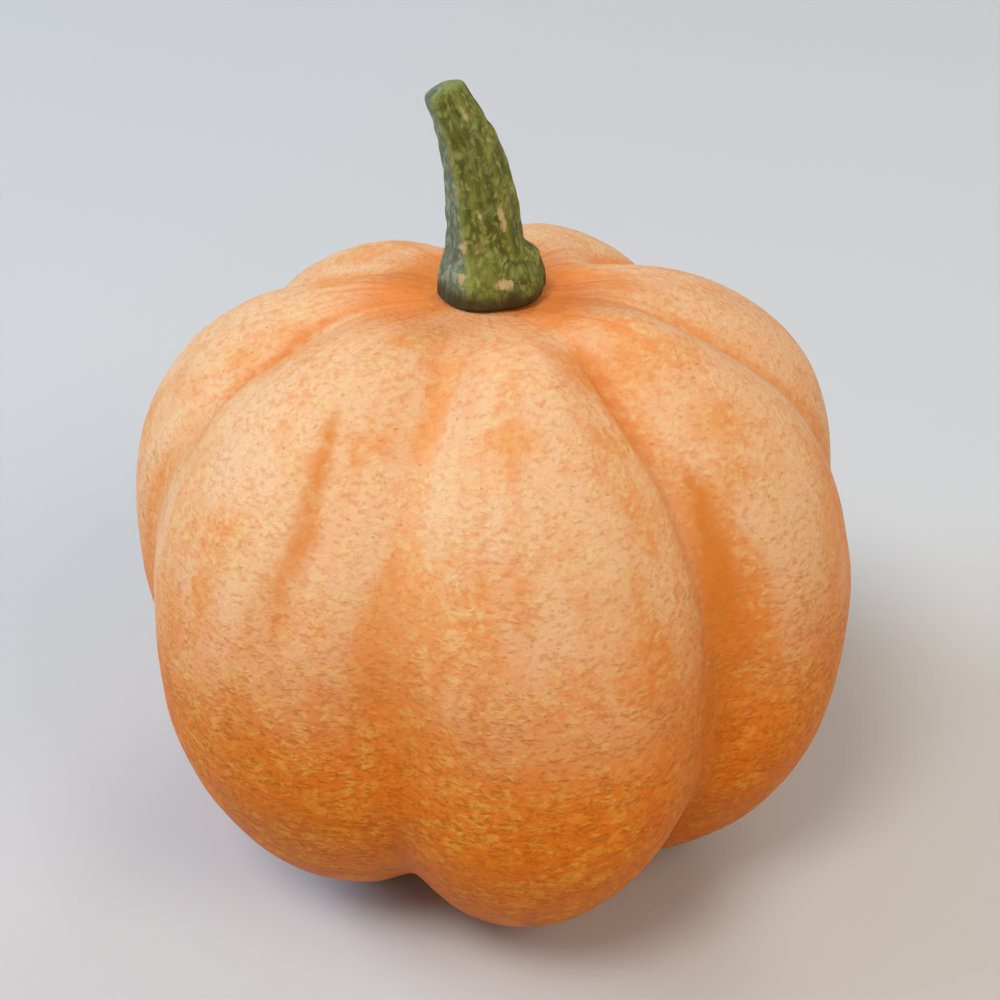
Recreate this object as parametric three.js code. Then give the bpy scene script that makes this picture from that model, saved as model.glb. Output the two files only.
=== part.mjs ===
// A small ripe pumpkin with its cut stem, standing on its blossom end.
// Lengths are in millimetres and +Z is up. Bearings are in degrees round the stem, seen from
// above: 0 is the front, towards -Y, and 90 is towards +X.
import * as THREE from "three";

// Driving dimensions of the fruit
const SEAT_HEIGHT = 139; // where the stem grows out of the crown
const SEAT_RADIUS = 13.5; // flat of skin under the foot of the stem
const CROWN_RADIUS = 46; // the skin has left the seat and reached the lobes here
const BLOSSOM_HOLLOW = 7; // height of the hollow round the blossom scar underneath
const BLOSSOM_RADIUS = 5;
const HAUNCH_RADIUS = 42; // the hollow underneath ends here
const BEDDING = 8; // each lobe's outline runs on this far under the surface, and is cut off flat
const TOP_FULLNESS = 2.37; // 2 makes a lobe's outline an ellipse, more makes it boxier
const BASE_FULLNESS = 2.27;

// Each lobe: how far its crest reaches out, and the heights of its belly and its shoulder
const LOBES = [
  { reach: 94.2, belly: 59.5, shoulder: 148 }, // front
  { reach: 90, belly: 68, shoulder: 147 }, // front right
  { reach: 87, belly: 86, shoulder: 141 }, // right
  { reach: 93, belly: 78, shoulder: 141 }, // back right
  { reach: 92, belly: 80, shoulder: 139 }, // back left
  { reach: 86.5, belly: 86, shoulder: 142 }, // left
  { reach: 93, belly: 69, shoulder: 146 }, // front left
];

// Each furrow comes before the lobe of the same row. It has a bearing at the belly, a drift
// round towards crown and base, a depth at base, belly and crown, and the tightness of the
// banks before and after it: 2 is a round lobe, more is a flatter lobe and a narrower furrow
const FURROWS = [
  { bearing: -14, drift: [0, -3], depth: [9.5, 9, 6], banks: [2.6, 2.4] },
  { bearing: 37, drift: [-5, -15], depth: [14, 11, 7], banks: [2.4, 2.4] },
  { bearing: 86, drift: [-4, 0], depth: [9, 8, 6], banks: [2.2, 2.6] },
  { bearing: 145, drift: [-6, 0], depth: [9, 9, 7], banks: [2.2, 2.2] },
  { bearing: 192, drift: [0, 0], depth: [9, 9, 7], banks: [2.2, 2.2] },
  { bearing: 235, drift: [0, 0], depth: [9, 8, 7], banks: [2.2, 2.2] },
  { bearing: 290, drift: [-2, 0], depth: [9, 7, 5], banks: [2.4, 2.4] },
];
const DEPTH_STATIONS = [-50, 0, 50]; // latitudes of those three depths
const DRIFT_END = 80; // latitude where a furrow has drifted all its way
const FLOOR_ROUNDING = 0.1; // rounding of a furrow's floor, as a share of one bank

// Shallow dents inside a lobe, in degrees of bearing and of latitude
const DENTS = [
  { bearing: -31, latitude: 32, halfLength: 22, halfWidth: 4, depth: 2 },
  { bearing: 41, latitude: 22, halfLength: 20, halfWidth: 5, depth: 2 },
];

// Driving dimensions of the stem
const STEM_GAP = 0.3; // parting between the stem's foot and its seat
const STEM_AXIS = [
  [0, 0, 0],
  [-1.2, 0, 10],
  [-2.3, 0, 21.5],
  [-4.2, 0, 32],
  [-7, 0, 40],
  [-10.6, 0, 48.2],
];
const SHAFT_RADII = [9.4, 8.7, 8.4, 8, 7.2, 6.4, 5.4, 4.6]; // evenly spaced, foot to cut end
const STEM_DEPTH = 0.88; // share of its width that the stem measures from front to back
const FOOT_RADIUS = 12.5;
const FLARE_TOP = 16; // height where the foot has run out into the shaft
const CUT_DOME = 1.2; // rise of the cut end's middle over its rim
const RIB_COUNT = 5;
const FIRST_RIB = -27; // bearing of the first rib at the foot
const RIB_HEIGHT = 0.07; // as a share of the radius
const RIB_TWIST = -18; // degrees from foot to cut end
const KNUCKLES = [0.35, 0.2, 1, 0.3, 0.1]; // how far each rib swells over the foot
const KNUCKLE_HALF_WIDTH = 44; // degrees
const KNUCKLE_LIP = 7.5; // height where the fullest knuckle starts to fall back
const KNUCKLE_TOP = 11.5; // height where it has met the shaft

// How finely the skins are faceted
const COLUMNS_PER_LOBE = 14;
const CROWDING = 0.5; // columns stand closer together in the furrows than on the crests
const FRUIT_ROWS = 40;
const STEM_COLUMNS = 40;
const STEM_ROWS = 30;

const { degToRad, radToDeg, lerp, smoothstep, euclideanModulo } = THREE.MathUtils;

// Angle from one bearing to another, between -180 and 180
function turnBetween(from, to) {
  return euclideanModulo(to - from + 180, 360) - 180;
}

// Value at x of a smooth line through three stations, level beyond the outer two
function throughThree(x, [low, middle, high], [first, second, third]) {
  return x < middle
    ? lerp(first, second, smoothstep(x, low, middle))
    : lerp(second, third, smoothstep(x, middle, high));
}

// Bearing of a furrow at a latitude. The furrow after the last one is the first again.
function furrowBearing(index, latitude) {
  const rounds = Math.floor(index / FURROWS.length);
  const furrow = FURROWS[index % FURROWS.length];
  const drift = latitude > 0 ? furrow.drift[0] : furrow.drift[1];
  return furrow.bearing + 360 * rounds + drift * smoothstep(Math.abs(latitude), 0, DRIFT_END);
}

// A dimension of the lobes, blended from crest to crest
function blendLobes(name, lobe, across) {
  const neighbour = across < 0.5 ? lobe + LOBES.length - 1 : lobe + 1;
  const share = smoothstep(Math.abs(across - 0.5), 0, 1);
  return lerp(LOBES[lobe][name], LOBES[neighbour % LOBES.length][name], share);
}

// How far the skin lies under the lobe's crest, in the banks of its two furrows
function furrowSink(lobe, across, latitude) {
  const before = FURROWS[lobe];
  const after = FURROWS[(lobe + 1) % FURROWS.length];
  const rounded = (x) => Math.hypot(x, FLOOR_ROUNDING) - FLOOR_ROUNDING;
  const offFloor = 1 - Math.abs(2 * across - 1);
  const fall = 1 - rounded(offFloor) / rounded(1);
  return across < 0.5
    ? throughThree(latitude, DEPTH_STATIONS, before.depth) * fall ** before.banks[1]
    : throughThree(latitude, DEPTH_STATIONS, after.depth) * fall ** after.banks[0];
}

function dentSink(bearing, latitude) {
  let sink = 0;
  for (const dent of DENTS) {
    const sideways = turnBetween(dent.bearing, bearing) / dent.halfWidth;
    const along = (latitude - dent.latitude) / dent.halfLength;
    sink += dent.depth * Math.exp(-sideways * sideways - along * along);
  }
  return sink;
}

// A point of the skin. Across runs from 0 at the lobe's own furrow to 1 at the next one, and
// latitude from -90 at the blossom scar to 90 at the stem.
function skinPoint(lobe, across, latitude) {
  const reach = blendLobes("reach", lobe, across);
  const belly = blendLobes("belly", lobe, across);
  const shoulder = blendLobes("shoulder", lobe, across);
  const bearing = lerp(furrowBearing(lobe, latitude), furrowBearing(lobe + 1, latitude), across);

  // A crest's outline is one quarter of a superellipse above the belly and one below it
  const upper = latitude >= 0;
  const fullness = upper ? TOP_FULLNESS : BASE_FULLNESS;
  const rise = upper ? shoulder - belly : -(belly + BEDDING);
  const out = Math.cos(degToRad(latitude)) ** (2 / fullness);
  const up = Math.abs(Math.sin(degToRad(latitude))) ** (2 / fullness);
  const normal = new THREE.Vector2(
    out ** (fullness - 1) / reach,
    up ** (fullness - 1) / rise,
  ).normalize();
  const sink =
    furrowSink(lobe, across, latitude) * smoothstep(reach * out, BLOSSOM_RADIUS, CROWN_RADIUS) +
    dentSink(bearing, latitude);
  const radius = reach * out - normal.x * sink;
  const height = belly + rise * up - normal.y * sink;

  // The crown runs in to the seat of the stem, and the base up into the blossom hollow
  const settled = upper
    ? lerp(SEAT_HEIGHT, height, smoothstep(radius, SEAT_RADIUS, CROWN_RADIUS))
    : lerp(BLOSSOM_HOLLOW, height, smoothstep(radius, BLOSSOM_RADIUS, HAUNCH_RADIUS));
  const turn = degToRad(bearing);
  return new THREE.Vector3(
    radius * Math.sin(turn),
    -radius * Math.cos(turn),
    Math.max(0, settled),
  );
}

// A closed skin from a bottom point over rings of points to a top point. The rings have the
// same number of points each and run anticlockwise seen from above.
function closedSkin(bottom, rings, top) {
  const count = rings[0].length;
  const points = [bottom, ...rings.flat(), top];
  const at = (ring, column) => 1 + ring * count + (column % count);
  const last = rings.length - 1;
  const index = [];
  for (let column = 0; column < count; column++) {
    index.push(0, at(0, column + 1), at(0, column));
    for (let ring = 0; ring < last; ring++) {
      const [a, b] = [at(ring, column), at(ring, column + 1)];
      const [c, d] = [at(ring + 1, column + 1), at(ring + 1, column)];
      index.push(a, b, c, a, c, d);
    }
    index.push(at(last, column), at(last, column + 1), points.length - 1);
  }
  const geometry = new THREE.BufferGeometry().setFromPoints(points);
  geometry.setIndex(index);
  geometry.computeVertexNormals();
  return geometry;
}

function fruitGeometry() {
  const rings = [];
  for (let row = 1; row < FRUIT_ROWS; row++) {
    const latitude = -90 + (180 * row) / FRUIT_ROWS;
    const ring = [];
    for (let lobe = 0; lobe < LOBES.length; lobe++) {
      for (let column = 0; column < COLUMNS_PER_LOBE; column++) {
        const share = column / COLUMNS_PER_LOBE;
        const across = share - (CROWDING * Math.sin(2 * Math.PI * share)) / (2 * Math.PI);
        ring.push(skinPoint(lobe, across, latitude));
      }
    }
    rings.push(ring);
  }
  const scar = new THREE.Vector3(0, 0, BLOSSOM_HOLLOW);
  const seat = new THREE.Vector3(0, 0, SEAT_HEIGHT);
  return closedSkin(scar, rings, seat);
}

// How much a rib's knuckle swells the foot at this bearing, between 0 and 1
function knuckleAt(bearing) {
  let most = 0;
  for (let rib = 0; rib < RIB_COUNT; rib++) {
    const away = Math.abs(turnBetween(FIRST_RIB + (360 * rib) / RIB_COUNT, bearing));
    most = Math.max(most, KNUCKLES[rib] * (1 - smoothstep(away, 8, KNUCKLE_HALF_WIDTH)));
  }
  return most;
}

// Radius of the stem where its plain round shaft would have the radius shaft
function stemRadius(shaft, share, height, bearing) {
  const knuckle = knuckleAt(bearing);
  const lip = lerp(0, KNUCKLE_LIP, knuckle);
  const runOut = lerp(FLARE_TOP, KNUCKLE_TOP, knuckle);
  const foot = 1 - smoothstep(height, lip, runOut);
  const rib = Math.cos(degToRad(RIB_COUNT * (bearing - FIRST_RIB - RIB_TWIST * share)));
  return lerp(shaft, FOOT_RADIUS, foot) * (1 + RIB_HEIGHT * rib * lerp(1, 0.3, foot));
}

function stemGeometry() {
  const base = SEAT_HEIGHT + STEM_GAP;
  const axis = new THREE.CatmullRomCurve3(
    STEM_AXIS.map(([x, y, z]) => new THREE.Vector3(x, y, z + base)),
  );
  const shaft = new THREE.SplineCurve(SHAFT_RADII.map((r, i) => new THREE.Vector2(i, r)));
  const rings = [];
  for (let row = 0; row <= STEM_ROWS; row++) {
    const share = row / STEM_ROWS;
    const centre = axis.getPointAt(share);
    const along = row === 0 ? new THREE.Vector3(0, 0, 1) : axis.getTangentAt(share);
    const right = new THREE.Vector3(1, 0, 0).addScaledVector(along, -along.x).normalize();
    const back = new THREE.Vector3().crossVectors(along, right);
    const ring = [];
    for (let column = 0; column < STEM_COLUMNS; column++) {
      const turn = (2 * Math.PI * column) / STEM_COLUMNS;
      const bearing = radToDeg(turn) + 90;
      const radius = stemRadius(shaft.getPoint(share).y, share, centre.z - base, bearing);
      const point = centre.clone();
      point.addScaledVector(right, radius * Math.cos(turn));
      point.addScaledVector(back, STEM_DEPTH * radius * Math.sin(turn));
      ring.push(point);
    }
    rings.push(ring);
  }

  // The cut end has a bevelled rim and a low dome
  const end = axis.getPointAt(1);
  const along = axis.getTangentAt(1);
  const bevel = rings.at(-1).map((point) => {
    return point.clone().lerp(end, 0.3).addScaledVector(along, 0.7 * CUT_DOME);
  });
  rings.push(bevel);
  return closedSkin(axis.getPointAt(0), rings, end.addScaledVector(along, CUT_DOME));
}

function solid(name, geometry, color, roughness) {
  const material = new THREE.MeshStandardMaterial({ color, roughness, metalness: 0 });
  const mesh = new THREE.Mesh(geometry, material);
  mesh.name = name;
  return mesh;
}

const pumpkin = new THREE.Group();
pumpkin.add(solid("fruit", fruitGeometry(), 0xe39a58, 0.55));
pumpkin.add(solid("stem", stemGeometry(), 0x5c6f33, 0.75));

// The origin is under the middle of the whole pumpkin, on the surface it stands on
const middle = new THREE.Box3().setFromObject(pumpkin).getCenter(new THREE.Vector3());
pumpkin.position.set(-middle.x, -middle.y, 0);

export default pumpkin;
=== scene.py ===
# %% [markdown]
# # A small pumpkin
# A ripe pumpkin is two things to a modeller: a heavy lobed fruit with a soft, mottled skin, and
# a green stem, tough as wood, that swells where it holds the fruit. The solids give both their
# form. This lesson gives them finer surfaces and their finishes, and sets them in plain light.

# %% Load the solids
import math

import bmesh
import bpy
import numpy as np
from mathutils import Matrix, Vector, noise
from mathutils.bvhtree import BVHTree


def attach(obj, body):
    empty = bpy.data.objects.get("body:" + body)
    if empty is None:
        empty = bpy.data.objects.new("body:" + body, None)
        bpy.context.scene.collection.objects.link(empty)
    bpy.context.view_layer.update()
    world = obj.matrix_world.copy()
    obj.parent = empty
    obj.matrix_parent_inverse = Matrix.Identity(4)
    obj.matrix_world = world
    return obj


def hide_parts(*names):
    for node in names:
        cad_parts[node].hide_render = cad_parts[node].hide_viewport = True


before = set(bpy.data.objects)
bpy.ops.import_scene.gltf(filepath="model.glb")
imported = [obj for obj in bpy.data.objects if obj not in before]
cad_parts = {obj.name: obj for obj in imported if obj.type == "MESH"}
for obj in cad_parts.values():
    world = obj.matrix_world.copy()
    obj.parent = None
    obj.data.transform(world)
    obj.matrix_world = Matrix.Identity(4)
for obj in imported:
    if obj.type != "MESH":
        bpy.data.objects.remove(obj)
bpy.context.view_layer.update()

# %% [markdown]
# ## The camera
# The photograph looks down on the pumpkin at about a third of a right angle, from close by, so
# the near lobes look bigger than the far ones. A camera is a place, a direction and a lens. The
# direction comes from turning it about X alone, and the place from walking back along it.

# %% Set up the camera
CAMERA_PITCH = math.radians(32)
CAMERA_DISTANCE = 0.4635
LOOK_AT = Vector((0.0028, 0.0007, 0.0835))
FOCAL_IN_WIDTHS = 1.9  # focal length over the width of the picture

camera_data = bpy.data.cameras.new("camera")
camera_data.sensor_width = 36
camera_data.lens = FOCAL_IN_WIDTHS * camera_data.sensor_width
camera_data.clip_start = 0.01
camera = bpy.data.objects.new("camera", camera_data)
bpy.context.collection.objects.link(camera)
forward = Vector((0, math.cos(CAMERA_PITCH), -math.sin(CAMERA_PITCH)))
camera.location = LOOK_AT - CAMERA_DISTANCE * forward
camera.rotation_euler = (math.pi / 2 - CAMERA_PITCH, 0, 0)
bpy.context.scene.camera = camera
print("camera at", tuple(round(v, 3) for v in camera.location))

# %% [markdown]
# ## The studio
# A plain pale floor that curves up behind would do, but a wide flat one is simpler and looks
# the same from every side. Daylight on a pumpkin is warm from one side and cool from the other,
# and that is what rounds its lobes. So a soft key lamp hangs high in front on the left, a warm
# one fills in from the right, a cool one far out on the left tints that flank, and a last one
# lights the back. The world adds a little from everywhere.

# %% Make the floor and the lamps
FLOOR_SIZE = 40
FLOOR_COLOUR = (0.62, 0.615, 0.60, 1)
FLOOR_ROUGHNESS = 0.9
WORLD_COLOUR = (1.0, 0.97, 0.94, 1)
WORLD_STRENGTH = 0.27
# place, the point it aims at, size across in metres, power in watts, colour
LAMPS = {
    "key_lamp": ((-0.60, -1.0, 1.95), (0, 0, 0.08), 0.8, 19.5, (1.0, 0.965, 0.93)),
    "fill_lamp": ((1.3, -1.1, 1.5), (0, 0, 0.06), 1.2, 14.5, (1.0, 0.87, 0.70)),
    "cool_lamp": ((-2.9, 0.4, 2.1), (0, 0, 0.09), 2.2, 90, (0.52, 0.73, 1.0)),
    "back_lamp": ((1.1, 2.3, 2.3), (0, 0, 0.08), 1.6, 22, (1.0, 0.97, 0.94)),
}


def deselect_all():
    if bpy.context.object and bpy.context.object.mode != "OBJECT":
        bpy.ops.object.mode_set(mode="OBJECT")
    bpy.ops.object.select_all(action="DESELECT")


def add_lamp(name, place, aim, size, watts, colour):
    data = bpy.data.lights.new(name, "AREA")
    data.shape = "DISK"
    data.size = size
    data.energy = watts
    data.color = colour
    lamp = bpy.data.objects.new(name, data)
    bpy.context.collection.objects.link(lamp)
    lamp.location = place
    lamp.rotation_euler = (Vector(aim) - Vector(place)).to_track_quat("-Z", "Y").to_euler()


deselect_all()
bpy.ops.mesh.primitive_plane_add(size=FLOOR_SIZE, location=(0, 0, 0))
floor = bpy.context.object
floor.name = "floor"
floor_paint = bpy.data.materials.new("floor_paint")
floor_paint.use_nodes = True
floor_shader = floor_paint.node_tree.nodes["Principled BSDF"]
floor_shader.inputs["Base Color"].default_value = FLOOR_COLOUR
floor_shader.inputs["Roughness"].default_value = FLOOR_ROUGHNESS
floor.data.materials.append(floor_paint)

for name, settings in LAMPS.items():
    add_lamp(name, *settings)
world = bpy.data.worlds.new("studio")
bpy.context.scene.world = world
world.use_nodes = True
background = world.node_tree.nodes["Background"]
background.inputs["Color"].default_value = WORLD_COLOUR
background.inputs["Strength"].default_value = WORLD_STRENGTH
bpy.context.scene.view_settings.view_transform = "Standard"
print(len(LAMPS), "lamps over a floor", FLOOR_SIZE, "m wide")

# %% [markdown]
# ## A finer fruit
# The solid already has the seven lobes, the furrows and the hollow underneath, in flat facets.
# A copy keeps that form. Its loose triangles are welded and paired into four-sided faces, and
# a subdivision surface turns those into the smooth swelling of real skin. Starting from a
# sphere and shrinking it on would blur the furrows, which are what makes a pumpkin.

# %% Copy, weld and subdivide the fruit
WELD = 1e-6  # corners nearer than this, in metres, are one
PAIRING_ANGLE = math.radians(70)
FRUIT_LEVELS = 2
STEM_LEVELS = 2


def smooth_copy(node, name, levels):
    """A welded, subdivided copy of a solid, as a new object at the origin."""
    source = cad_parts[node]
    piece = bpy.data.objects.new(name, source.data.copy())
    bpy.context.collection.objects.link(piece)
    deselect_all()
    piece.select_set(True)
    bpy.context.view_layer.objects.active = piece
    piece.data.materials.clear()
    bpy.ops.object.mode_set(mode="EDIT")
    bpy.ops.mesh.select_all(action="SELECT")
    bpy.ops.mesh.remove_doubles(threshold=WELD)
    bpy.ops.mesh.tris_convert_to_quads(
        face_threshold=PAIRING_ANGLE, shape_threshold=PAIRING_ANGLE
    )
    bpy.ops.object.mode_set(mode="OBJECT")
    if piece.data.has_custom_normals:
        bpy.ops.mesh.customdata_custom_splitnormals_clear()
    smoothing = piece.modifiers.new("smoothing", "SUBSURF")
    smoothing.levels = smoothing.render_levels = levels
    bpy.ops.object.modifier_apply(modifier=smoothing.name)
    bpy.ops.object.shade_smooth()
    print(name, "has", len(piece.data.polygons), "faces")
    return piece


fruit = smooth_copy("fruit", "pumpkin_fruit", FRUIT_LEVELS)
stem = smooth_copy("stem", "pumpkin_stem", STEM_LEVELS)

# %% [markdown]
# ## Where the furrows are
# Colour follows form on a pumpkin: it is palest on the crests and deepest in the furrows, where
# painted shade also darkens it. The depth of a furrow is how far the skin lies under a sheet
# stretched over all the crests. The convex hull is that sheet, so its distance is measured once
# and kept on each point.

# %% Measure the depth of the skin under its hull
def points_of(piece):
    flat = np.empty(len(piece.data.vertices) * 3)
    piece.data.vertices.foreach_get("co", flat)
    return flat.reshape(-1, 3)


def normals_of(piece):
    flat = np.empty(len(piece.data.vertices) * 3)
    piece.data.vertex_normals.foreach_get("vector", flat)
    return flat.reshape(-1, 3)


def set_points(piece, points):
    piece.data.vertices.foreach_set("co", points.ravel())
    piece.data.update()


def keep_value(piece, name, values):
    """Keeps one number per point as an attribute that a material can read."""
    layer = piece.data.attributes.new(name, "FLOAT", "POINT")
    layer.data.foreach_set("value", np.asarray(values, dtype=np.float32))


def keep_vector(piece, name, values):
    layer = piece.data.attributes.new(name, "FLOAT_VECTOR", "POINT")
    layer.data.foreach_set("vector", np.asarray(values, dtype=np.float32).ravel())


def ramp(x, low, high):
    """0 below low, 1 above high, and a smooth rise between."""
    t = np.clip((x - low) / (high - low), 0, 1)
    return t * t * (3 - 2 * t)


def depth_under_hull(piece):
    shell = bmesh.new()
    shell.from_mesh(piece.data)
    hull = bmesh.ops.convex_hull(shell, input=shell.verts)
    shell.faces.ensure_lookup_table()
    hull_faces = {f for f in hull["geom"] if isinstance(f, bmesh.types.BMFace)}
    bmesh.ops.delete(shell, geom=[f for f in shell.faces if f not in hull_faces], context="FACES")
    tree = BVHTree.FromBMesh(shell)
    depths = np.array([tree.find_nearest(v.co)[3] for v in piece.data.vertices])
    shell.free()
    return depths


skin = points_of(fruit)
furrow_depth = depth_under_hull(fruit)
print("deepest furrow", round(float(furrow_depth.max()) * 1000, 1), "mm")

# %% [markdown]
# ## Bearings round the stem
# The stem isn't quite in the middle of the box, so its foot gives the axis of growth. A bearing
# of 0 is the front and 90 is the right. Everything that runs from stem to blossom end, such as
# a furrow or a stain in the skin, is easiest to place by bearing and height.

# %% Find the axis of growth
FOOT_SLICE = 0.0005  # metres of the stem's height that count as its foot

stem_points = points_of(stem)
foot_ring = stem_points[stem_points[:, 2] < stem_points[:, 2].min() + FOOT_SLICE]
axis_x, axis_y = foot_ring[:, 0].mean(), foot_ring[:, 1].mean()
out_x, out_y = skin[:, 0] - axis_x, skin[:, 1] - axis_y
out_radius = np.hypot(out_x, out_y)
bearing = np.degrees(np.arctan2(out_x, -out_y))
print("axis at", round(axis_x * 1000, 2), round(axis_y * 1000, 2), "mm")

# %% [markdown]
# ## Relief
# Skin that has grown is never quite even. Slow swellings a few centimetres across, a fraction
# of a millimetre high, break up the reflections, and fine ribs run out from the stem where the
# skin was gathered. Underneath, the blossom left a small corky button with a raised rim. These
# are real moves of the surface, so they also show in the outline.

# %% Give the fruit its relief
SWELL_HEIGHT = 0.00055
SWELL_SIZE = 0.028
FINE_SWELL = 0.45  # height of the finer swellings over that of the slow ones
FINE_SWELL_SIZE = 0.4 * SWELL_SIZE
GATHER_HEIGHT = 0.00022
GATHER_COUNT = 34
SCAR_RADIUS = 0.0062
SCAR_RIM_WIDTH = 0.0012
SCAR_RIM_HEIGHT = 0.0009
SCAR_BUTTON_HEIGHT = 0.0007
SCAR_BUTTON_EDGE = 0.003
UNDERSIDE = 0.03  # height in metres under which the scar is looked for

directions = normals_of(fruit)
swell = np.array([noise.noise(Vector(p) / SWELL_SIZE) for p in skin])
elsewhere = Vector((9, 4, 2))
swell += FINE_SWELL * np.array([
    noise.noise(Vector(p) / FINE_SWELL_SIZE + elsewhere) for p in skin
])
around = np.stack([out_x, out_y], 1) / np.maximum(out_radius, 1e-6)[:, None]
gather = np.array([
    noise.noise(Vector((a[0] * GATHER_COUNT / 6, a[1] * GATHER_COUNT / 6, 12 * r)))
    for a, r in zip(around, out_radius)
])
height = skin[:, 2]
near_stem = ramp(height, 0.118, 0.134) * ramp(out_radius, 0.013, 0.019)
in_furrow = ramp(furrow_depth, 0.002, 0.007)
off_table = ramp(height, 0.0004, 0.003)
off_stem = ramp(out_radius, 0.0135, 0.02)
lift = SWELL_HEIGHT * swell + GATHER_HEIGHT * gather * np.maximum(near_stem, 0.6 * in_furrow)
lift *= off_table * off_stem
underneath = height < UNDERSIDE
scar_rim = np.exp(-(((out_radius - SCAR_RADIUS) / SCAR_RIM_WIDTH) ** 2)) * underneath
scar_button = ramp(SCAR_RADIUS - out_radius, 0, SCAR_BUTTON_EDGE) * underneath
lift += SCAR_RIM_HEIGHT * scar_rim + SCAR_BUTTON_HEIGHT * scar_button
set_points(fruit, skin + directions * lift[:, None])
print("relief from", round(lift.min() * 1000, 2), "to", round(lift.max() * 1000, 2), "mm")

# %% [markdown]
# ## Stains and creases
# Besides its furrows the skin has a few deep orange runs, where a lobe had started to divide,
# and two sharp creases, where a lobe folds against its neighbour. Each is a line of bearings
# and heights with a width. A point's share is how near it is to the line, and it fades at both
# ends. Stains are only colour. Creases are pressed into the surface, and darkened with painted
# shade.

# %% Mark the stains and press in the creases
# bearing in degrees, height in millimetres, half width in millimetres and strength
STAINS = {
    "front_left_run": [
        (-32.3, 134.5, 1.0, 0.5), (-31.9, 132.7, 1.4, 1.0), (-30.6, 129, 2.0, 1.0),
        (-29.8, 124.7, 2.6, 1.0), (-28.3, 118.6, 3.1, 1.0), (-28.5, 114, 3.4, 0.95),
        (-29.6, 109.5, 4.0, 0.8), (-30.8, 103.6, 4.6, 0.65), (-31, 95.5, 5.5, 0.5),
        (-30, 80, 7, 0.0),
    ],
    "front_right_run": [
        (41, 124, 1.0, 0.2), (41, 120.5, 1.8, 0.9), (41, 116, 2.6, 1.0), (41, 108, 3.6, 1.0),
        (41, 98, 5, 1.0), (41, 86, 7, 0.9), (37, 66, 9, 0.7), (32, 40, 9, 0.3),
    ],
}
CREASES = {
    "right_crease": [
        (42, 140.2, 1.2, 0.2), (38.6, 138.9, 1.3, 0.8), (36.3, 134.6, 1.5, 1.0),
        (35.7, 130.9, 1.6, 1.0), (35.8, 126.7, 1.6, 1.0), (36, 119.7, 1.7, 1.0),
        (36.2, 110.7, 1.8, 0.9), (36.9, 100, 2.0, 0.7), (36.7, 89, 2.2, 0.5),
        (34.1, 77, 2.4, 0.35), (30.8, 65, 2.6, 0.0),
    ],
    "left_crease": [
        (-77, 138, 1.2, 0.1), (-75.8, 136.1, 1.3, 0.8), (-73.5, 133.4, 1.4, 1.0),
        (-71, 130.5, 1.5, 1.0), (-70.5, 127.5, 1.5, 0.9), (-68.4, 123.8, 1.7, 0.7),
        (-63.5, 120.5, 2.0, 0.5), (-62.5, 112.7, 2.4, 0.4), (-61.5, 100, 2.6, 0.3),
        (-61, 80, 3, 0.0),
    ],
}
CREASE_DEPTH = 0.0009
UNMARKED_RADIUS = 0.02  # metres round the axis that stay free of stains and creases


def share_near(line):
    """How near each point of the skin is to a line, from 0 to the line's own strength."""
    stations = np.array(line, dtype=float)
    order = np.argsort(stations[:, 1])
    bearings, heights, widths, strengths = stations[order].T
    z = height * 1000
    middle = np.interp(z, heights, bearings)
    width = np.interp(z, heights, widths)
    strength = np.interp(z, heights, strengths) * (z > heights[0]) * (z < heights[-1])
    turn = (bearing - middle + 180) % 360 - 180
    away = np.radians(turn) * out_radius * 1000
    return strength * np.exp(-((away / width) ** 2)) * (out_radius > UNMARKED_RADIUS)


def strongest(lines):
    shares = {name: share_near(line) for name, line in lines.items()}
    for name, share in shares.items():
        print(name, "reaches", int((share > 0.3).sum()), "points")
    return np.maximum.reduce(list(shares.values()))


stain = strongest(STAINS)
crease = strongest(CREASES)
set_points(fruit, points_of(fruit) - directions * (CREASE_DEPTH * crease)[:, None])
keep_value(fruit, "furrow_depth_mm", furrow_depth * 1000)
keep_value(fruit, "stain", stain)
keep_value(fruit, "crease", crease)
keep_value(fruit, "blossom_scar", np.clip(scar_rim + scar_button, 0, 1))
keep_vector(fruit, "round_stem", np.stack([around[:, 0], around[:, 1], out_radius], 1))

# %% [markdown]
# ## Building materials from nodes
# A finish is a small picture of causes: a broad colour, blotches, flecks and pores. Each is a
# node, and a few helpers keep the wiring short. Patterns are placed in metres on the object,
# so a scale of 500 makes spots two millimetres across.

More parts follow.
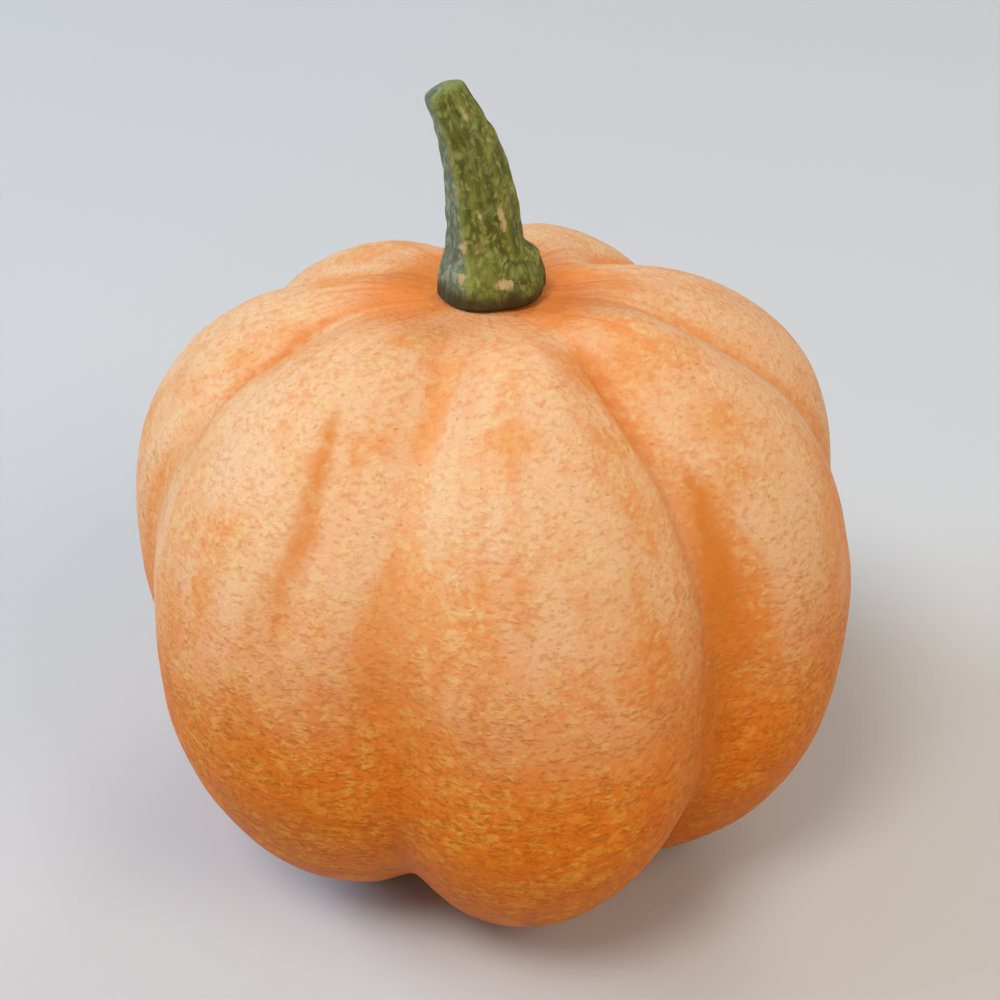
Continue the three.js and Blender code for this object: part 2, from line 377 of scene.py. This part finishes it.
# %% Helpers for node trees
class Tree:
    """Adds nodes to a material or group and wires them in one line each."""

    def __init__(self, tree):
        self.tree = tree

    def node(self, kind, **settings):
        node = self.tree.nodes.new(kind)
        for key, value in settings.items():
            setattr(node, key, value)
        return node

    def plug(self, value, socket):
        if isinstance(value, bpy.types.NodeSocket):
            self.tree.links.new(value, socket)
        else:
            socket.default_value = value

    def math(self, operation, a, b=0.0):
        node = self.node("ShaderNodeMath", operation=operation)
        self.plug(a, node.inputs[0])
        self.plug(b, node.inputs[1])
        return node.outputs[0]

    def plus(self, a, b):
        return self.math("ADD", a, b)

    def minus(self, a, b):
        return self.math("SUBTRACT", a, b)

    def times(self, first, *others):
        for other in others:
            first = self.math("MULTIPLY", first, other)
        return first

    def ramp(self, value, low, high, to_low=0.0, to_high=1.0):
        """A smooth change from to_low, where value is low, to to_high, where it is high."""
        node = self.node("ShaderNodeMapRange", interpolation_type="SMOOTHSTEP")
        for socket, number in zip(node.inputs, (value, low, high, to_low, to_high)):
            self.plug(number, socket)
        return node.outputs[0]

    def mix(self, share, a, b):
        """Colour a, with a share of colour b over it."""
        node = self.node("ShaderNodeMix", data_type="RGBA")
        self.plug(share, node.inputs[0])
        self.plug(a, node.inputs[6])
        self.plug(b, node.inputs[7])
        return node.outputs[2]

    def noise(self, vector, scale, detail, roughness, distortion=0.0):
        node = self.node("ShaderNodeTexNoise")
        self.plug(vector, node.inputs["Vector"])
        self.plug(scale, node.inputs["Scale"])
        self.plug(detail, node.inputs["Detail"])
        self.plug(roughness, node.inputs["Roughness"])
        self.plug(distortion, node.inputs["Distortion"])
        return node.outputs["Fac"]

    def voronoi(self, vector, scale):
        """Distance to the nearest seed of a cell, and a random number for the cell."""
        node = self.node("ShaderNodeTexVoronoi")
        self.plug(vector, node.inputs["Vector"])
        self.plug(scale, node.inputs["Scale"])
        split = self.node("ShaderNodeSeparateColor")
        self.plug(node.outputs["Color"], split.inputs[0])
        return node.outputs["Distance"], split.outputs[0]

    def warped(self, vector, scale, reach):
        """The vector moved about within reach, so that a pattern on it loses its regularity."""
        node = self.node("ShaderNodeTexNoise")
        self.plug(vector, node.inputs["Vector"])
        self.plug(scale, node.inputs["Scale"])
        self.plug(0.0, node.inputs["Detail"])
        shift = self.node("ShaderNodeVectorMath", operation="MULTIPLY_ADD")
        self.plug(node.outputs["Color"], shift.inputs[0])
        self.plug((reach,) * 3, shift.inputs[1])
        self.plug(vector, shift.inputs[2])
        return shift.outputs[0]

    def value_of(self, name):
        return self.node("ShaderNodeAttribute", attribute_name=name).outputs["Fac"]

    def vector_of(self, name):
        return self.node("ShaderNodeAttribute", attribute_name=name).outputs["Vector"]

    def axes(self, vector):
        """The X, Y and Z of a vector, as three sockets."""
        node = self.node("ShaderNodeSeparateXYZ")
        self.plug(vector, node.inputs[0])
        return node.outputs

    def scaled(self, vector, scale, move=(0, 0, 0)):
        node = self.node("ShaderNodeMapping")
        self.plug(vector, node.inputs["Vector"])
        node.inputs["Scale"].default_value = scale
        node.inputs["Location"].default_value = move
        return node.outputs["Vector"]

    def place(self):
        return self.node("ShaderNodeTexCoord").outputs["Object"]

    def bump(self, height, strength, distance):
        node = self.node("ShaderNodeBump")
        node.inputs["Strength"].default_value = strength
        node.inputs["Distance"].default_value = distance
        self.plug(height, node.inputs["Height"])
        return node.outputs["Normal"]


def new_material(name):
    """A node material, the helper for its tree, and its shader."""
    material = bpy.data.materials.new(name)
    material.use_nodes = True
    tree = Tree(material.node_tree)
    return material, tree, material.node_tree.nodes["Principled BSDF"]


def new_group(name, inputs, outputs):
    group = bpy.data.node_groups.new(name, "ShaderNodeTree")
    for label, kind, value in inputs:
        socket = group.interface.new_socket(label, in_out="INPUT", socket_type=kind)
        if value is not None:
            socket.default_value = value
    for label, kind in outputs:
        group.interface.new_socket(label, in_out="OUTPUT", socket_type=kind)
    tree = Tree(group)
    return group, tree, tree.node("NodeGroupInput").outputs, tree.node("NodeGroupOutput").inputs


def use_group(tree, group, *values):
    """Puts a group into a tree with these values on its inputs, and gives its mask."""
    node = tree.node("ShaderNodeGroup", node_tree=group)
    for socket, value in zip(node.inputs, values):
        tree.plug(value, socket)
    return node.outputs["Mask"]


# %% [markdown]
# ## Flecks
# Skin and stem are both flecked with wax and cork, lighter or darker than their ground. Flecks
# could be painted, but a threshold on fine noise gives thousands of them, all different. A
# slower noise gathers them into drifts, so they never look evenly sprinkled.

# %% The fleck group
fleck_group, g, given, result = new_group(
    "flecks",
    [
        ("Vector", "NodeSocketVector", None),
        ("Scale", "NodeSocketFloat", 400.0),
        ("Threshold", "NodeSocketFloat", 0.55),
        ("Softness", "NodeSocketFloat", 0.06),
        ("Drift Scale", "NodeSocketFloat", 60.0),
        ("Drift", "NodeSocketFloat", 0.25),
    ],
    [("Mask", "NodeSocketFloat")],
)
fine = g.noise(given["Vector"], given["Scale"], 2.0, 0.5)
slow = g.noise(given["Vector"], given["Drift Scale"], 2.0, 0.5)
gathered = g.plus(fine, g.times(g.minus(slow, 0.5), given["Drift"]))
edge = g.plus(given["Threshold"], given["Softness"])
g.plug(g.ramp(gathered, given["Threshold"], edge), result["Mask"])


def flecks(tree, vector, scale, threshold, softness, drift_scale, drift):
    return use_group(
        tree, fleck_group, vector, scale, threshold, softness, drift_scale, drift
    )


# %% [markdown]
# ## Pale cells
# Both are also covered with pale rounded spots, a few millimetres across and crowded together.
# Plain noise makes clouds, not spots, so each spot grows from its own seed point. The seeds are
# moved about first, and chance leaves some of them out.

# %% The cell group
SEED_NOISE = 380.0
SEED_REACH = 0.004
CELL_EDGE = 0.66  # distance from a seed, in cells, where its spot ends
CELL_CORE = 0.16  # and where it is palest

cell_group, g, given, result = new_group(
    "cells",
    [
        ("Vector", "NodeSocketVector", None),
        ("Scale", "NodeSocketFloat", 250.0),
        ("Left Out", "NodeSocketFloat", 0.4),
    ],
    [("Mask", "NodeSocketFloat")],
)
loose = g.warped(given["Vector"], SEED_NOISE, SEED_REACH)
away, chance = g.voronoi(loose, given["Scale"])
grown = g.ramp(away, CELL_EDGE, CELL_CORE)
chosen = g.ramp(chance, given["Left Out"], g.plus(given["Left Out"], 0.4))
g.plug(g.times(grown, chosen), result["Mask"])


def cells(tree, vector, scale, left_out):
    return use_group(tree, cell_group, vector, scale, left_out)


# %% [markdown]
# ## A net of fine lines
# Between its pale cells the skin shows a net of thin, broken, darker lines, and the stem has the
# same in dark green. The edges of the cells would draw it too evenly. Noise crosses its own
# middle value along winding lines, which look more grown, and a second noise breaks them up.

# %% The net group
net_group, g, given, result = new_group(
    "net",
    [
        ("Vector", "NodeSocketVector", None),
        ("Scale", "NodeSocketFloat", 260.0),
        ("Width", "NodeSocketFloat", 0.03),
        ("Gaps", "NodeSocketFloat", 0.5),
    ],
    [("Mask", "NodeSocketFloat")],
)
winding = g.noise(given["Vector"], given["Scale"], 3.0, 0.6)
off_line = g.math("ABSOLUTE", g.minus(winding, 0.5))
line = g.ramp(off_line, given["Width"], 0.0)
gap_noise = g.noise(given["Vector"], g.times(given["Scale"], 1.7), 3.0, 0.6)
kept = g.ramp(gap_noise, given["Gaps"], g.plus(given["Gaps"], 0.08))
g.plug(g.times(line, kept), result["Mask"])


def net(tree, vector, scale, width, gaps):
    return use_group(tree, net_group, vector, scale, width, gaps)


# %% [markdown]
# ## The ground of the skin
# A ripe pumpkin is apricot on its shoulders and orange low down and in its furrows, and that
# orange is partly painted shade. Painted shade darkens it further towards the bottom and in its
# deep furrows, and a painted contact shadow lies where it stands. Flat bands would look dipped,
# so a slow noise moves each border up and down. The furrows on the left are paler, and cream
# patches lie on the crests and round the shoulder.

# %% Lay the ground of the skin
SKIN = {
    "cream": (0.87, 0.56, 0.33, 1),
    "apricot": (0.84, 0.365, 0.125, 1),
    "orange": (0.78, 0.178, 0.004, 1),
    # the deepest orange, for the stains and also painted shade low down, in deep furrows and
    # along creases
    "deep": (0.54, 0.098, 0.001, 1),
    # deep orange runs, and also painted shade along the creases
    "run": (0.74, 0.235, 0.026, 1),
    # painted contact shadow where the fruit stands
    "painted_contact_shadow": (0.30, 0.060, 0.001, 1),
    "pale_cell": (0.85, 0.58, 0.27, 1),
    "gold_cell": (0.82, 0.37, 0.040, 1),
    "net": (0.74, 0.24, 0.055, 1),
    "dark_net": (0.47, 0.102, 0.001, 1),
    "brown": (0.40, 0.105, 0.006, 1),
    "cork": (0.33, 0.19, 0.085, 1),
    "bruise": (0.20, 0.10, 0.04, 1),
}
BORDER_WANDER = 0.04  # metres over which the borders move
WANDER_IN_DEPTH = 60.0  # millimetres of furrow depth for each metre of that
FLANK = (0.115, 0.05)  # heights in metres between which the colours and marks grow stronger

skin_finish, t, shader = new_material("pumpkin_skin")
place = t.place()
high = t.axes(place)["Z"]
depth = t.value_of("furrow_depth_mm")
round_stem = t.vector_of("round_stem")
to_right, to_back, stem_distance = t.axes(round_stem)

wander = t.times(t.minus(t.noise(place, 38.0, 3.0, 0.55), 0.5), BORDER_WANDER)
uneven_high = t.plus(high, wander)
low_share = t.ramp(uneven_high, 0.126, 0.050)
painted_bottom_shade = t.ramp(uneven_high, 0.070, 0.012)
furrow_share = t.ramp(t.plus(depth, t.times(wander, WANDER_IN_DEPTH)), 1.2, 7.0)
on_left = t.times(t.ramp(to_right, 0.05, -0.10), t.ramp(to_back, 0.4, 0.0))
paler = t.times(on_left, t.ramp(high, 0.045, 0.075, 0.0, 0.6))
furrow_share = t.times(furrow_share, t.minus(1.0, paler), t.ramp(high, 0.125, 0.085, 0.2, 0.75))

# orange low down: partly the skin's own colour, partly painted shade
colour = t.mix(low_share, SKIN["apricot"], SKIN["orange"])
# orange in the furrows: partly the skin's own colour, partly painted shade
colour = t.mix(furrow_share, colour, SKIN["orange"])
# painted shade: the skin darkens towards the bottom
colour = t.mix(t.times(painted_bottom_shade, 0.68), colour, SKIN["deep"])
# painted contact shadow: darkest where the fruit meets the floor
colour = t.mix(t.ramp(high, 0.020, 0.004, 0.0, 0.5), colour, SKIN["painted_contact_shadow"])
# painted shade: deep furrows darkened, most of all low on the flanks
painted_furrow_shade = t.times(t.ramp(depth, 3.0, 9.0), t.ramp(high, *FLANK, 0.08, 0.8))
colour = t.mix(painted_furrow_shade, colour, SKIN["deep"])

crest_depth = t.minus(depth, t.ramp(high, 0.100, 0.128, 0.0, 2.3))
crest = t.times(t.ramp(crest_depth, 1.8, 0.2), t.ramp(high, 0.065, 0.112))
clouds = t.ramp(t.noise(t.scaled(place, (1.0, 1.0, 0.5)), 55.0, 3.0, 0.6), 0.34, 0.58)
colour = t.mix(t.times(crest, clouds, 0.8), colour, SKIN["cream"])

# %% [markdown]
# ## Stains, creases and bands
# The stains and creases were kept on the points, so here they only need their colours, and
# along the creases that colour is painted shade. Slow bands run from the stem to the blossom end,
# because the skin grew that way. They are noise on the direction from the stem, which holds still
# along each meridian.

# %% Add the stains, creases and bands
stained = t.ramp(t.noise(place, 260.0, 3.0, 0.6), 0.30, 0.55, 0.75, 1.0)
stained = t.times(t.value_of("stain"), stained)
colour = t.mix(t.times(stained, 0.85), colour, SKIN["run"])
colour = t.mix(t.times(stained, 0.22), colour, SKIN["deep"])
crease_shade = t.value_of("crease")
# painted shade along the creases
colour = t.mix(t.times(crease_shade, 0.6), colour, SKIN["run"])
colour = t.mix(t.times(crease_shade, 0.25), colour, SKIN["deep"])

bands = t.noise(t.scaled(round_stem, (4.5, 4.5, 7.0)), 1.5, 3.0, 0.6)
colour = t.mix(t.ramp(bands, 0.52, 0.70, 0.0, 0.22), colour, SKIN["orange"])
pale_bands = t.times(t.ramp(bands, 0.50, 0.34, 0.0, 0.30), t.ramp(high, 0.07, 0.115))
colour = t.mix(pale_bands, colour, SKIN["cream"])

# %% [markdown]
# ## The mottle
# Seen close, the skin is a crowd of pale cells, golden low down, with thin broken lines and
# dashes between them, drawn out sideways on the flanks. A pattern squeezed along Z does that.
# Two sizes of cell look more natural than one. Furrows and stains show fewer of them.

# %% Mottle the skin
CELL_SIZES = ((230.0, 0.15), (420.0, 0.18))  # cells in a metre, and the share left out
CELL_STRENGTH = 0.66

flattened = t.scaled(place, (1.0, 1.0, 1.3))
cell_tone = t.mix(low_share, SKIN["pale_cell"], SKIN["gold_cell"])
cell_drift = t.times(
    t.ramp(t.noise(place, 70.0, 3.0, 0.55), 0.34, 0.62, 0.35, 1.0),
    t.ramp(depth, 1.5, 7.0, 1.0, 0.5),
    t.ramp(stained, 0.1, 0.8, 1.0, 0.35),
)
cell_shares = []
for scale, left_out in CELL_SIZES:
    share = t.times(cells(t, flattened, scale, left_out), cell_drift, CELL_STRENGTH)
    colour = t.mix(share, colour, cell_tone)
    cell_shares.append(share)

net_tone = t.mix(low_share, SKIN["net"], SKIN["dark_net"])
drawn = t.warped(t.scaled(place, (1.0, 1.0, 1.7), (0.31, 0.17, 0.23)), 300.0, 0.003)
lines = net(t, drawn, 190.0, 0.055, 0.43)
colour = t.mix(t.times(lines, t.ramp(high, *FLANK, 0.28, 0.60)), colour, net_tone)
dash_place = t.scaled(place, (1.0, 1.0, 1.9), (0.1, 0.6, 0.9))
dashes = flecks(t, dash_place, 520.0, 0.51, 0.18, 60.0, 0.3)
colour = t.mix(t.times(dashes, t.ramp(high, *FLANK, 0.42, 0.66)), colour, net_tone)
dust = t.noise(place, 1100.0, 2.0, 0.6)
colour = t.mix(t.ramp(dust, 0.35, 0.65, 0.12, 0.0), colour, SKIN["orange"])

# %% [markdown]
# ## Round the stem, and small marks
# Where the skin is gathered to the stem it is orange, in a ring and in short rays, less so on the
# front lobe, and the ring is also painted shade in the hollow round the stem. A few brown pores
# lie all over, and grey brown bruises near the foot, where the fruit lay on the ground. The
# blossom scar underneath is cork.

# %% Add the ring, the rays and the marks
crown = t.times(t.ramp(high, 0.120, 0.134), t.ramp(stem_distance, 0.060, 0.016))
off_front = t.ramp(to_back, -0.98, -0.55, 0.35, 1.0)
ring = t.times(t.ramp(stem_distance, 0.040, 0.020), crown, off_front)
# an orange ring round the stem, partly painted shade in the hollow where it sits
colour = t.mix(t.times(ring, 0.7), colour, SKIN["orange"])
rays = t.noise(t.scaled(round_stem, (9.0, 9.0, 6.0)), 2.2, 4.0, 0.65)
ray_share = t.times(crown, t.ramp(rays, 0.42, 0.64), off_front)
colour = t.mix(t.times(ray_share, 0.6), colour, SKIN["orange"])

pore_place = t.scaled(place, (1.0, 1.0, 1.4), (0.7, 0.2, 0.5))
pores = flecks(t, pore_place, 700.0, 0.69, 0.06, 70.0, 0.22)
colour = t.mix(t.times(pores, 0.4), colour, SKIN["brown"])
bruise_place = t.scaled(place, (1.0, 1.0, 1.0), (0.2, 0.9, 0.4))
bruises = flecks(t, bruise_place, 85.0, 0.60, 0.08, 30.0, 0.3)
low_bruises = t.times(bruises, t.ramp(high, 0.042, 0.014), 0.6)
colour = t.mix(low_bruises, colour, SKIN["bruise"])
scar = t.value_of("blossom_scar")
colour = t.mix(scar, colour, SKIN["cork"])
t.plug(colour, shader.inputs["Base Color"])

# %% [markdown]
# ## The shine and grain of the skin
# Pumpkin skin is waxed but dull, so it reflects little, and warmly. It is duller still on its
# pale cells and on cork. The grain is far too fine for the mesh, so it is a bump: the smaller
# cells stand up a little, and the dashes are pressed in, most of all low down.

# %% Finish the skin
SKIN_REFLECTION = 0.13
REFLECTION_TINT = (1.0, 0.82, 0.55, 1)
GRAIN_STRENGTH = 0.7
GRAIN_HEIGHT = 0.00045

any_cell = t.math("MAXIMUM", *cell_shares)
roughness = t.plus(t.ramp(any_cell, 0.0, 0.5, 0.46, 0.56), t.times(scar, 0.3))
t.plug(roughness, shader.inputs["Roughness"])
shader.inputs["Specular IOR Level"].default_value = SKIN_REFLECTION
shader.inputs["Specular Tint"].default_value = REFLECTION_TINT

grain = t.plus(t.noise(flattened, 420.0, 3.0, 0.6), t.times(cell_shares[-1], 0.7))
pressed = t.times(dashes, t.ramp(high, 0.13, 0.05, 0.14, 0.34))
normal = t.bump(t.minus(grain, pressed), GRAIN_STRENGTH, GRAIN_HEIGHT)
t.plug(normal, shader.inputs["Normal"])
fruit.data.materials.append(skin_finish)
print("skin made with", len(skin_finish.node_tree.nodes), "nodes")

# %% [markdown]
# ## The stem
# A pumpkin's stem is ribbed like a rope, five main ribs and many fine ones, and it swells into
# knuckles where it joins the fruit. The solid has the main ribs and the knuckles. The fine ribs
# follow the stem, so they are cut along its length: a point's angle round the stem's own middle
# decides how far it moves. It also tells which flank a point is on, and how near it is to the
# edge of the first main rib, and both are kept for the colours.

# %% Give the stem its fine ribs
FINE_RIB_HEIGHT = 0.00026
FINE_RIBS = 17
MEAN_SINE = 0.64  # taken off each fine rib, so that they rise and sink about equally
RIB_WANDER = 2.4  # radians by which noise bends the fine ribs
WART_HEIGHT = 0.0003
WARTS_IN_A_METRE = 330
SLICES = 24  # levels at which the stem's middle is found
TWIST = 0.35  # radians that the ribs turn from the foot to the cut end
FIRST_RIB = -27  # bearing of the first main rib at the foot, in degrees
RIB_TURN = 18  # degrees that the main ribs turn on the way up
RIB_EDGE_WIDTH = 6  # degrees

stem_low, stem_high = stem_points[:, 2].min(), stem_points[:, 2].max()
rise = (stem_points[:, 2] - stem_low) / (stem_high - stem_low)
slices = np.clip((rise * SLICES).astype(int), 0, SLICES - 1)
middles = np.array([
    (stem_points[slices == s, :2].min(0) + stem_points[slices == s, :2].max(0)) / 2
    for s in range(SLICES)
])
station = rise * SLICES - 0.5
middle_x = np.interp(station, np.arange(SLICES), middles[:, 0])
middle_y = np.interp(station, np.arange(SLICES), middles[:, 1])
stem_turn = np.arctan2(stem_points[:, 0] - middle_x, middle_y - stem_points[:, 1])
turned = stem_turn + TWIST * rise
wave = np.array([
    noise.noise(Vector((2.2 * math.cos(a), 2.2 * math.sin(a), 2.5 * r)))
    for a, r in zip(stem_turn, rise)
])
fine_ribs = np.abs(np.sin(0.5 * FINE_RIBS * turned + RIB_WANDER * wave)) - MEAN_SINE
warts = np.array([noise.noise(Vector(p) * WARTS_IN_A_METRE) for p in stem_points])
on_flank = ramp(0.975 - rise, 0, 0.03) * ramp(rise, 0.0, 0.02)
stem_lift = (FINE_RIB_HEIGHT * fine_ribs + WART_HEIGHT * warts) * on_flank
set_points(stem, stem_points + normals_of(stem) * stem_lift[:, None])
keep_vector(stem, "along_stem", np.stack([np.cos(turned), np.sin(turned), rise], 1))
keep_value(stem, "rib", fine_ribs)
past_rib = FIRST_RIB - np.degrees(stem_turn) - RIB_TURN * rise
# the left flank past the first main rib, kept for a painted reflection of cool light
keep_value(stem, "cool_reflection_flank", ramp(past_rib, -3, 5) * ramp(-past_rib, -95, -75))
keep_value(stem, "rib_edge", np.exp(-((past_rib / RIB_EDGE_WIDTH) ** 2)))
print("stem relief up to", round(float(np.abs(stem_lift).max()) * 1000, 2), "mm")

# %% [markdown]
# ## Scuffs on the stem
# Handling rubs the green skin off the stem in a few places. Each is kept on the points as a
# soft oval, given by bearing and height, and the material tears its edge.

# %% Mark the scuffs
# bearing in degrees and share of the height, then half sizes in the same units
SCUFFS = [
    (33, 0.42, 9, 0.075), (22, 0.13, 15, 0.028), (-36, 0.28, 12, 0.035), (-40, 0.15, 9, 0.04),
    (-6, 0.43, 7, 0.02), (28, 0.88, 9, 0.05), (150, 0.3, 16, 0.08),
]

scuffed = np.zeros(len(stem_points))
for at_bearing, at_rise, wide, tall in SCUFFS:
    aside = (np.degrees(stem_turn) - at_bearing + 180) % 360 - 180
    oval = np.exp(-((aside / wide) ** 2) - ((rise - at_rise) / tall) ** 2)
    scuffed = np.maximum(scuffed, oval)
keep_value(stem, "scuffed", scuffed)
print("scuffs reach", int((scuffed > 0.3).sum()), "points")

# %% [markdown]
# ## The finish of the stem
# Fresh stem is a mid green with darker streaks between its ribs and yellower ridges. It is
# scuffed to a pale tan where it was handled, and dark where the foot meets the fruit. Its left
# flank is greyer and bluer, a painted reflection of cool light. The cut end has dried paler.

# %% Make the stem's finish
STEM = {
    "green": (0.190, 0.205, 0.024, 1),
    "light": (0.34, 0.38, 0.090, 1),
    "dark": (0.070, 0.075, 0.008, 1),
    "ridge": (0.30, 0.34, 0.070, 1),
    # the next two colours are a painted reflection of cool light on the left flank
    "painted_cool_reflection": (0.130, 0.160, 0.100, 1),
    "cool_reflection_cell": (0.36, 0.40, 0.27, 1),
    "tan": (0.58, 0.44, 0.20, 1),
    "foot": (0.045, 0.030, 0.006, 1),
    "teal": (0.20, 0.26, 0.18, 1),
    "cut": (0.24, 0.27, 0.08, 1),
}
STEM_REFLECTION = 0.35
BARK_STRENGTH = 0.7
BARK_HEIGHT = 0.0005

stem_finish, t, shader = new_material("pumpkin_stem")
place = t.place()
along = t.vector_of("along_stem")
up_stem = t.axes(along)["Z"]
cool = t.value_of("cool_reflection_flank")
streaks = t.noise(t.scaled(along, (1.0, 1.0, 1.1)), 3.2, 5.0, 0.65, 0.4)
colour = t.mix(t.ramp(streaks, 0.36, 0.64), STEM["dark"], STEM["green"])
# painted reflection of cool light: the left flank greyer and bluer
colour = t.mix(t.times(cool, 0.8), colour, STEM["painted_cool_reflection"])
colour = t.mix(t.ramp(t.value_of("rib"), 0.05, -0.5, 0.0, 0.3), colour, STEM["dark"])

# pale cells and a dark net, drawn out along the stem
tall = t.scaled(place, (1.0, 1.0, 0.75))
# pale cells on the left flank are greyed by the same painted cool reflection
cell_tone = t.mix(cool, STEM["light"], STEM["cool_reflection_cell"])
pale_cells = t.math("MAXIMUM", cells(t, tall, 360.0, 0.20), cells(t, tall, 620.0, 0.25))
colour = t.mix(t.times(pale_cells, 0.65), colour, cell_tone)
colour = t.mix(t.times(net(t, tall, 300.0, 0.045, 0.44), 0.6), colour, STEM["dark"])
ridge = t.times(t.value_of("rib_edge"), t.ramp(streaks, 0.35, 0.6, 0.1, 0.55))
colour = t.mix(ridge, colour, STEM["ridge"])

# tan scuffs with torn edges, and a scatter of small ones
ovals = t.value_of("scuffed")
tear = t.times(t.minus(t.noise(tall, 520.0, 4.0, 0.65), 0.5), 2.4)
large = t.times(t.ramp(t.plus(ovals, tear), 0.45, 0.85), t.ramp(ovals, 0.05, 0.35))
small_place = t.scaled(place, (1.0, 1.0, 0.8), (0.4, 0.1, 0.6))
small = t.times(flecks(t, small_place, 420.0, 0.62, 0.05, 75.0, 0.45), 0.22)
colour = t.mix(t.times(t.math("MAXIMUM", large, small), 0.85), colour, STEM["tan"])

# the dark foot and the cut end
blotches = t.noise(tall, 330.0, 4.0, 0.6, 0.5)
foot_line = t.plus(up_stem, t.times(t.minus(blotches, 0.5), 0.10))
colour = t.mix(t.ramp(foot_line, 0.12, 0.04, 0.0, 0.9), colour, STEM["foot"])
colour = t.mix(t.ramp(up_stem, 0.012, 0.004, 0.0, 0.8), colour, STEM["teal"])
colour = t.mix(t.ramp(up_stem, 0.965, 0.99, 0.0, 0.6), colour, STEM["cut"])
t.plug(colour, shader.inputs["Base Color"])

t.plug(t.ramp(blotches, 0.3, 0.7, 0.72, 0.56), shader.inputs["Roughness"])
shader.inputs["Specular IOR Level"].default_value = STEM_REFLECTION
normal = t.bump(t.plus(blotches, t.times(streaks, 0.8)), BARK_STRENGTH, BARK_HEIGHT)
t.plug(normal, shader.inputs["Normal"])
stem.data.materials.append(stem_finish)
print("stem made with", len(stem_finish.node_tree.nodes), "nodes")

# %% [markdown]
# ## Into the one body
# Both pieces stand for their solids and go with the one body.

# %% Tie the pieces to the solids and finish
for piece, node, slot in ((fruit, "fruit", "fruit_skin"), (stem, "stem", "stem")):
    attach(piece, "root")
    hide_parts(node)
